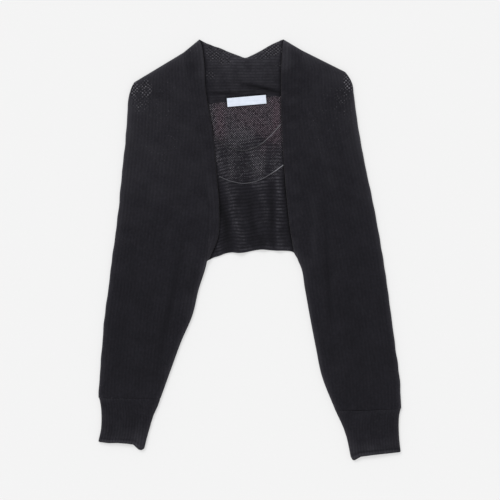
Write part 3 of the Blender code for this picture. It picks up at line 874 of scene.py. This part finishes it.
def half_piece(name, table, folds, tones, front_to_sleeve, material, seed):
    """Front, shoulder and sleeve of one side, knitted in one and folded along the outer side.

    front_to_sleeve holds the painted lightness of the front and that of the sleeve; the sleeve's is
    painted shade.
    """
    step, upper_columns, lower_columns = HALF_MESH
    down, places, outer, inner, width, lifts = sections(table, step, ROUND_STEPS)
    crown, hold = lifts[:, 0:1], lifts[:, 1:2]
    closed = smooth_step((down - places[BODY_ROWS - 1]) / UNDERARM_REACH)
    shoulder = closed_round(down)
    near_seam = width - np.array(ROUND_STEPS[:-1])
    flat_end = width - ROUND_STEPS[-1]
    upper = np.hstack([near_seam, blend(flat_end, FOLD_RADIUS, np.linspace(0, 1, upper_columns))])
    lower = blend(FOLD_RADIUS, flat_end, np.linspace(0, 1, lower_columns))
    lower = np.hstack([lower, near_seam[:, ::-1]])
    quarter_turn = FOLD_RADIUS * math.pi / 2

    def settled(along, out, low):
        """Both sides of the wall, brought to the fold's middle at the closed edges."""
        seams = (blend(1.0, rounded, closed) for rounded in closed_round(width - along))
        return [
            blend(FOLD_MIDDLE, height, seam * edge)
            for height, seam, edge in zip((out, low), seams, shoulder)
        ]

    # Upper layer
    share = upper / width
    x, y = between(outer, inner, share)
    rise = smooth_step((upper - FOLD_RADIUS) / 14.0)
    soft = smooth_step(dome(share) * 1.6) * smooth_step(down / SOFT_FROM)
    lift = crown * dome(share) * rise * 1.15 + hold * share ** 2
    lift = lift + soft * (fold_height(folds, x, y) + 0.25 * unevenness(x, y, seed, 60.0))
    lift = np.maximum(lift, -0.5)
    around = quarter_turn + (upper - FOLD_RADIUS)
    relief = SLEEVE_RELIEF * rib_profile(around / SLEEVE_PITCH)
    relief = relief * (1 + 0.25 * unevenness(x, y, seed + 1, 30.0))
    fine = 0.06 * unevenness(x, y, seed + 2, 5.0)
    out, low = settled(upper, UPPER + WALL + lift + relief + fine - RIB_SINK, UPPER + lift)
    body_rim = (1 - closed) * (1 - quarter_round(width - upper, SEAM_ROUND)) * 0.35
    out = out + THIN - body_rim * WALL
    stretches = [(*sides_at(x, y, out, low + THIN / 2), around)]

    # Round the outer fold
    angle = math.pi * np.arange(1, 10) / 10 * np.ones_like(width)
    around = FOLD_RADIUS * (math.pi / 2 - angle)
    relief = (SLEEVE_RELIEF * rib_profile(around / SLEEVE_PITCH) - RIB_SINK) * (1 + np.cos(angle)) / 2
    crease_x, crease_y = between(outer, inner, np.zeros_like(angle))
    wobble = 0.35 * unevenness(crease_x, crease_y, seed + 3, 24.0) * np.sin(angle)
    sides = []
    for reach, shift, gap, edge in (
        (FOLD_RADIUS + relief, wobble, THIN, shoulder[0]),
        (FOLD_RADIUS - WALL, 0.0, THIN / 2, shoulder[1]),
    ):
        x, y = between(outer, inner, (FOLD_RADIUS - reach * np.sin(angle) - shift) / width)
        z = blend(FOLD_MIDDLE, FOLD_RADIUS + reach * np.cos(angle), edge) + gap * np.cos(angle)
        sides.append(points_of(x, y, z))
    stretches.append((*sides, around))

    # Lower layer, which rests on the surface
    x, y = between(outer, inner, lower / width)
    around = -quarter_turn - (lower - FOLD_RADIUS)
    valley = SLEEVE_RELIEF * (1 - rib_profile(around / SLEEVE_PITCH))
    hidden = 0.5 * np.maximum(unevenness(x, y, seed + 4, 70.0) - 0.35, 0.0)
    hidden = hidden * smooth_step(dome(lower / width))
    bottom = valley * smooth_step((lower - FOLD_RADIUS) / 5.0) + hidden * 0.6
    out, low = settled(lower, bottom, WALL + 0.4 * hidden)
    out = np.maximum(out - THIN, 0.0)
    stretches.append((*sides_at(x, y, out, low - THIN / 2), around))

    outside, inside, across = joined(stretches)
    x, y = outside[..., 0], outside[..., 1]
    sleeve_share = smooth_step(down / places[-1] * 1.7 - 0.35)
    # Painted light and shade: lighter front, painted shade down the sleeve, the half's painted marks,
    # random unevenness and painted light along the outline
    tone = blend(*front_to_sleeve, sleeve_share) + plain_tone(x, y, tones, 0.04, seed + 5, 34.0)
    return knit_piece(
        name, (outside, inside), points_of(across, down), material,
        open=openness(OPEN_FRONT, x, y), tone=tone, blush=FRONT_BLUSH * smooth_step(y / 90.0 - 2.2),
    )


def cuff_piece(name, table, dips, tones, material, seed):
    """A ribbed tube, pressed flat and open at both ends. Its lower layer shows past the upper one."""
    step, upper_columns, lower_columns = CUFF_MESH
    down, places, outer, inner, width, crown = sections(table, step, RIM_STEPS)
    to_mouth = places[-1] - down
    rim = blend(0.72, 1.0, quarter_round(down, SEAM_ROUND))
    rim = np.minimum(rim, quarter_round(to_mouth, RIM_ROUND))
    mouth_share = smooth_step(1 - to_mouth / MOUTH_REACH)
    upper = blend(width - FOLD_RADIUS, FOLD_RADIUS, np.linspace(0, 1, upper_columns))
    lower = blend(FOLD_RADIUS, width - FOLD_RADIUS, np.linspace(0, 1, lower_columns))
    angle = math.pi * np.arange(1, 9) / 9 * np.ones_like(width)
    quarter_turn = math.pi * FOLD_RADIUS / 2
    stretches = []

    def place(along, under=0.0):
        share = along / width
        x, y = between(outer, inner, share)
        return x, y + (np.interp(share, *np.transpose(dips)) - CUFF_UNDER * under) * mouth_share

    def relief_at(around):
        return CUFF_RELIEF * (rib_profile(around / CUFF_PITCH) - 0.35)

    def fold(centre, side, start):
        around = start + side * FOLD_RADIUS * angle
        across, depth = side * np.sin(angle), side * np.cos(angle)
        bulged = (WALL / 2 + 0.6 * relief_at(around)) * rim + THIN
        sides = []
        for wall in (bulged, -WALL / 2 * rim):
            reach = FOLD_RADIUS - WALL / 2 + wall
            x, y = place(centre + reach * across, (1 + depth) / 2)
            sides.append(points_of(x, y, np.maximum(FOLD_RADIUS - reach * depth, 0.0)))
        stretches.append((*sides, around))

    share = upper / width
    x, y = place(upper)
    uneven = 0.3 * unevenness(x, y, seed, 30.0) * smooth_step(dome(share) * 2)
    lift = (crown * dome(share) * 1.1 + uneven) * smooth_step(dome(share) * 4)
    around = upper + quarter_turn
    middle = UPPER + lift + WALL / 2
    out = middle + (WALL / 2 + relief_at(around)) * rim + THIN
    stretches.append((*sides_at(x, y, out, middle - WALL / 2 * rim), around))
    fold(FOLD_RADIUS, -1, quarter_turn)
    x, y = place(lower, 1.0)
    around = -(lower + quarter_turn)
    valley = CUFF_RELIEF * (1 - rib_profile(around / CUFF_PITCH)) * smooth_step((lower - FOLD_RADIUS) / 4)
    valley = valley * smooth_step((width - FOLD_RADIUS - lower) / 4)
    out, low = blend(WALL / 2, valley, rim), blend(WALL / 2 + THIN, WALL, rim)
    stretches.append((*sides_at(x, y, out, low), around))
    fold(width - FOLD_RADIUS, 1, -(width - FOLD_RADIUS + quarter_turn) - math.pi * FOLD_RADIUS)

    outside, inside, across = joined(stretches)
    all_round = 2 * (width - 2 * FOLD_RADIUS) + 2 * math.pi * FOLD_RADIUS
    across = np.hstack([across, across[:, :1] - all_round])
    x, y = outside[..., 0], outside[..., 1]
    # Painted light and shade on the cuff: its painted darkness, painted marks, random unevenness and
    # painted light along the outline; a painted highlight beside the seam, and near the mouth a darker
    # band, then a lighter strip along the rim
    tone = CUFF_LEVEL + plain_tone(x, y, tones, 0.05, seed + 5, 22.0, CUFF_RIM)
    tone = tone + 0.14 * bell(down - 2.2, 1.6)
    tone = tone - 0.24 * bell(to_mouth - 6.5, 1.4) + 0.22 * bell(to_mouth - 2.6, 1.6)
    return knit_piece(
        name, (outside, inside), points_of(across, down), material, tube=True, tone=tone
    )


def band_piece(name, half_table, free_edge, level, material, seed):
    """Shawl collar along one front, from its seam to the free edge, ribbed along its length."""
    table = [(*row[2:4], *free, row[5]) for row, free in zip(half_table, free_edge)]
    step, columns = BAND_MESH
    down, places, seam, free, width, hold = sections(table, step, ROUND_STEPS)
    near_seam = np.array(BAND_SEAM_STEPS) * np.ones_like(width)
    rest = blend(1.4, width - 3.2, np.linspace(0, 1, columns))
    across = np.hstack([near_seam, rest, width - np.array(BAND_FREE_STEPS)])
    share = blend(-LAP / width, 1.0, across / width)
    x, y = between(seam, free, share)
    from_free = width - across
    shoulder, shoulder_inside = closed_round(down)
    rim = np.minimum(quarter_round(from_free, BAND_RIM), quarter_round(places[-1] - down, RIM_ROUND))
    seam_side = blend(0.55, 1.0, quarter_round(across, SEAM_ROUND))
    soft = 0.3 * smooth_step(down / SOFT_FROM) * smooth_step(across / 12.0)
    lift = hold * (1 - share ** 2) + BAND_BOW * dome(share) + soft * unevenness(x, y, seed, 45.0)
    relief = SLEEVE_RELIEF * (rib_profile(from_free / SLEEVE_PITCH) - 0.45)
    middle = UPPER + lift + WALL / 2
    out = blend(FOLD_MIDDLE, middle + (WALL / 2 * seam_side + relief) * rim, shoulder) + THIN
    low = blend(FOLD_MIDDLE, middle - WALL / 2 * rim, shoulder_inside) + THIN / 2
    # Painted lightness of the band, with its painted light and shade, random unevenness and painted light
    # along the outline
    tone = level + plain_tone(x, y, BAND_PAINTED_SHADING, 0.05, seed + 5, 22.0)
    return knit_piece(
        name, sides_at(x, y, out, low), points_of(from_free, down), material,
        open=openness(OPEN_FRONT, x, y), tone=tone,
    )


def back_columns(u):
    return smooth_through(np.linspace(0, 1, len(BACK)), BACK, u)


def back_places(u, v):
    """Places on the back patch, stretched between the neck seam, the hem and the two halves."""
    columns = back_columns(u)[None]
    top, hem = columns[..., 2:4], columns[..., 4:6]
    sides = []
    for table in (LEFT_HALF, RIGHT_HALF):
        edge = np.array(table)[:BODY_ROWS, 2:4]
        along = lengths_along(edge)
        sides.append(smooth_through(along / along[-1], edge, v)[:, None, :])
    u, v = u[None, :, None], v[:, None, None]
    corners = blend(blend(top[:, :1], top[:, -1:], u), blend(hem[:, :1], hem[:, -1:], u), v)
    place = blend(top, hem, v) + blend(*sides, u) - corners
    x = place[..., 0] + LAP * np.interp(u[..., 0], (0, 0.02, 0.98, 1), (-1, 0, 0, 1))
    return x, place[..., 1]


def back_piece(name, start, end, relief, fade_at, material, seed):
    """A stretch of the back patch, ribbed from side to side and lifted over its soft ridges."""
    length = (end - start) * BACK_SPAN
    rows = stations(length, 0.92)
    u = stations(BACK_WIDTH, BACK_WIDTH / 66) / BACK_WIDTH
    v = start + rows / BACK_SPAN
    x, y = back_places(u, v)
    from_ends = np.minimum(rows, length - rows)[:, None]
    rim = quarter_round(np.minimum(np.minimum(u, 1 - u) * BACK_WIDTH, from_ends), RIM_ROUND)
    down = (v * BACK_SPAN)[:, None] + 0.8 * unevenness(x, y, seed, 60.0)
    opened = back_openness(x, y)
    strength = blend(relief * smooth_step((fade_at - v) / 0.05 + 1.0)[:, None], OPEN_RELIEF, opened)
    ribs = strength * (rib_profile(down / BACK_PITCH) - 0.75) + 0.06 * unevenness(x, y, seed + 1, 6.0)
    middle = ridge_height(x, y) + WALL / 2
    out = middle + (WALL / 2 + RIB * 0.5 + ribs) * rim + THIN
    valley = 0.4 * (1 - rib_profile(down / BACK_PITCH + 0.5))
    low = np.maximum(middle - (WALL / 2) * rim + valley * rim, 0.0)
    # Painted shade beside the bands and round the label, painted light growing towards the top of the
    # back, the back's painted light and shade and random unevenness; painted shade also closes the pale
    # dots
    tone = shades(x, y) + BACK_LEVEL * smooth_step((y - 70.0) / 70.0)
    tone = tone + plain_tone(x, y, BACK_PAINTED_SHADING, 0.10, seed + 2, 17.0)
    opened = opened * (1 + np.clip(tone, -0.8, 0.0))
    blush = 0.08 + fold_height(BACK_BLUSH, x, y)
    sides = sides_at(x, y, out, low)
    return knit_piece(name, sides, points_of(down, x), material, open=opened, tone=tone, blush=blush)


def neck_piece(name, material, seed):
    """Back of the shawl collar, ribbed along the neck, with its doubled stand."""
    u = stations(NECK_WIDTH, NECK_WIDTH / 100) / NECK_WIDTH
    rows = back_columns(u)
    length = np.hypot(rows[:, 2] - rows[:, 0], rows[:, 3] - rows[:, 1])
    share = (stations(NECK_SPAN, 0.85) / NECK_SPAN)[:, None]
    x, y = between(rows[:, 0:2], rows[:, 2:4], share * (1 + LAP / length))
    doubled = smooth_step((share - rows[:, 6]) / 0.07) * smooth_step((0.82 - share) / 0.035)
    from_ends = np.minimum(share, 1 - share) * length
    rim = quarter_round(np.minimum(from_ends, np.minimum(u, 1 - u) * NECK_WIDTH), RIM_ROUND)
    level = NECK_TOP - y + 0.7 * unevenness(x, y * 0.5, seed + 3, 45.0)
    ribs = NECK_RELIEF * (rib_profile(level / NECK_PITCH) - 0.6)
    top = WALL + RIB * 0.6 + ribs + (1.5 + 0.25 * unevenness(x, y, seed, 35.0)) * doubled
    top = top + fold_height(NECK_CREASES, x, y)
    middle = WALL / 2
    out = blend(middle, top, rim) + THIN
    low = middle * (1 - rim)
    # Painted shade beside the bands and round the label, the neck's painted lightness, and its painted
    # light and shade along the stand and creases
    tone = shades(x, y) + NECK_LEVEL + plain_tone(x, y, NECK_PAINTED_SHADING, 0.06, seed + 2, 15.0)
    return knit_piece(
        name, sides_at(x, y, out, low), points_of(level, x), material,
        open=openness(OPEN_NECK, x, y), tone=tone, blush=NECK_BLUSH,
    )


def label_piece(material):
    """Blank woven label: a thin strip with folded ends, a little wavy on the ribs under it."""
    length, height, thickness = LABEL_SIZE
    across = stations(length, 1.5, LABEL_END_STEPS) - length / 2
    up = stations(height, 1.2, LABEL_SIDE_STEPS) - height / 2
    flat_x, flat_y = np.meshgrid(across, up)
    rim = quarter_round(np.minimum(length / 2 - np.abs(flat_x), height / 2 - np.abs(flat_y)), 0.3)
    ends = smooth_step((np.abs(flat_x) - (length / 2 - 5.0)) / 0.8) * 0.18
    wave = 0.22 * np.sin(flat_y * 1.1 + flat_x * 0.05) + 0.3 * unevenness(flat_x, flat_y, 71, 40.0)
    bowed = 0.6 * dome((flat_x + length / 2) / length)
    level = BACK_PLANE + CLEAR + thickness / 2 + 0.25 + wave * 0.5 + bowed
    x, y = turned(flat_x, flat_y, LABEL_TILT)
    x, y = LABEL_CENTRE[0] + x, LABEL_CENTRE[1] + y
    sides = sides_at(x, y, level + (thickness / 2 + ends) * rim + 0.01, level - thickness / 2 * rim)
    return knit_piece("label_strip", sides, points_of(flat_x, flat_y), material)


def set_stage():
    """Pale floor and soft studio light."""
    nodes = Nodes("floor_paper")
    grain = nodes.noise(240.0, 3.0)
    nodes.shader_values(
        Base_Color=nodes.mix(grain, (0.294, 0.294, 0.294), (0.306, 0.306, 0.306)),
        Roughness=nodes.ramp(grain, 0.3, 0.7, 0.85, 0.95),
        Specular_IOR_Level=0.0,
        Emission_Color=(1.0, 1.0, 1.0),
        Emission_Strength=0.490,
    )
    mesh = bpy.data.meshes.new("floor")
    sides = ((-1, -1), (1, -1), (1, 1), (-1, 1))
    mesh.from_pydata([(x * FLOOR_REACH, y * FLOOR_REACH, FLOOR_Z) for x, y in sides], [], [(0, 1, 2, 3)])
    mesh.materials.append(nodes.material)
    placed("floor", mesh)
    world = bpy.data.worlds.new("studio")
    world.use_nodes = True
    background = world.node_tree.nodes["Background"]
    background.inputs[0].default_value = (1.0, 1.0, 1.0, 1.0)
    background.inputs[1].default_value = WORLD_LIGHT
    sun = bpy.data.lights.new("key", "SUN")
    sun.energy = SUN_LIGHT
    sun.angle = math.radians(25)
    placed("key", sun).rotation_euler = (math.radians(-40), math.radians(-26), 0.0)
    scene = bpy.context.scene
    scene.world = world
    scene.view_settings.view_transform = "Standard"
    scene.view_settings.look = "None"


def dress():
    set_camera()
    upper_cord = loop_material("loop_cord_faint", 0.019, 0.118, 9.0, 44.0)
    lower_cord = loop_material("loop_cord_pale", 0.060, 0.215, 32.0, 54.0)
    inside_loop("loop_cord_upper", UPPER_LOOP, "loop_upper", upper_cord)
    inside_loop("loop_cord_lower", LOWER_LOOP, "loop_lower", lower_cord)

    front = knit_material("front_knit", SLEEVE_PITCH, 0.15, eyelets=FRONT_EYELETS)
    back = knit_material("back_knit", BACK_PITCH, 1.0, eyelets=BACK_EYELETS)
    neck = knit_material("neck_rib", NECK_PITCH, 0.34, wale=2.5, eyelets=NECK_EYELETS)
    rib = knit_material("plain_rib", CUFF_PITCH, 0.2, wale=2.45)
    hem = knit_material("hem_rib", BACK_PITCH, 0.8, wale=2.6)
    satin = label_material()

    pieces = (
        (half_piece("knit_half_left", LEFT_HALF, LEFT_FOLDS, LEFT_PAINTED_SHADING, (0.08, -0.12), front, 11),
         "front_sleeve_left", "black_knit", (0.345, 0.640), 0.158),
        (half_piece("knit_half_right", RIGHT_HALF, RIGHT_FOLDS, RIGHT_PAINTED_SHADING, (0.02, -0.12), front, 23),
         "front_sleeve_right", "black_knit", (0.320, 0.640), 0.149),
        (back_piece("knit_back", 0.0, HEM_START + 0.003, BACK_RELIEF, 1.0, back, 31),
         "back_panel", "black_knit", (0.205, 0.285), 0.041),
        (back_piece("knit_hem", HEM_START, 1.0, BACK_RELIEF * 0.6, 0.98, hem, 31),
         "hem_band", "black_rib", (0.165, 0.022), None),
        (neck_piece("knit_neck", neck, 41), "collar_neck", "black_rib", (0.215, 0.080), 0.0130),
        (band_piece("knit_band_left", LEFT_HALF, LEFT_FREE_EDGE, 0.05, front, 51),
         "collar_left", "black_rib", (0.038, 0.385), 0.0096),
        (band_piece("knit_band_right", RIGHT_HALF, RIGHT_FREE_EDGE, 0.02, front, 57),
         "collar_right", "black_rib", (0.038, 0.378), 0.0101),
        (cuff_piece("knit_cuff_left", LEFT_CUFF, LEFT_DIPS, LEFT_CUFF_PAINTED_SHADING, rib, 61),
         "cuff_left", "black_rib", (0.188, 0.078), 0.0138),
        (cuff_piece("knit_cuff_right", RIGHT_CUFF, RIGHT_DIPS, RIGHT_CUFF_PAINTED_SHADING, rib, 67),
         "cuff_right", "black_rib", (0.200, 0.078), 0.0148),
        (label_piece(satin), "neck_label", "label_satin", (0.0685, 0.0152), None),
    )
    for piece, node, slot, flat, area in pieces:
        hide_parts(node)
    set_stage()


dress()
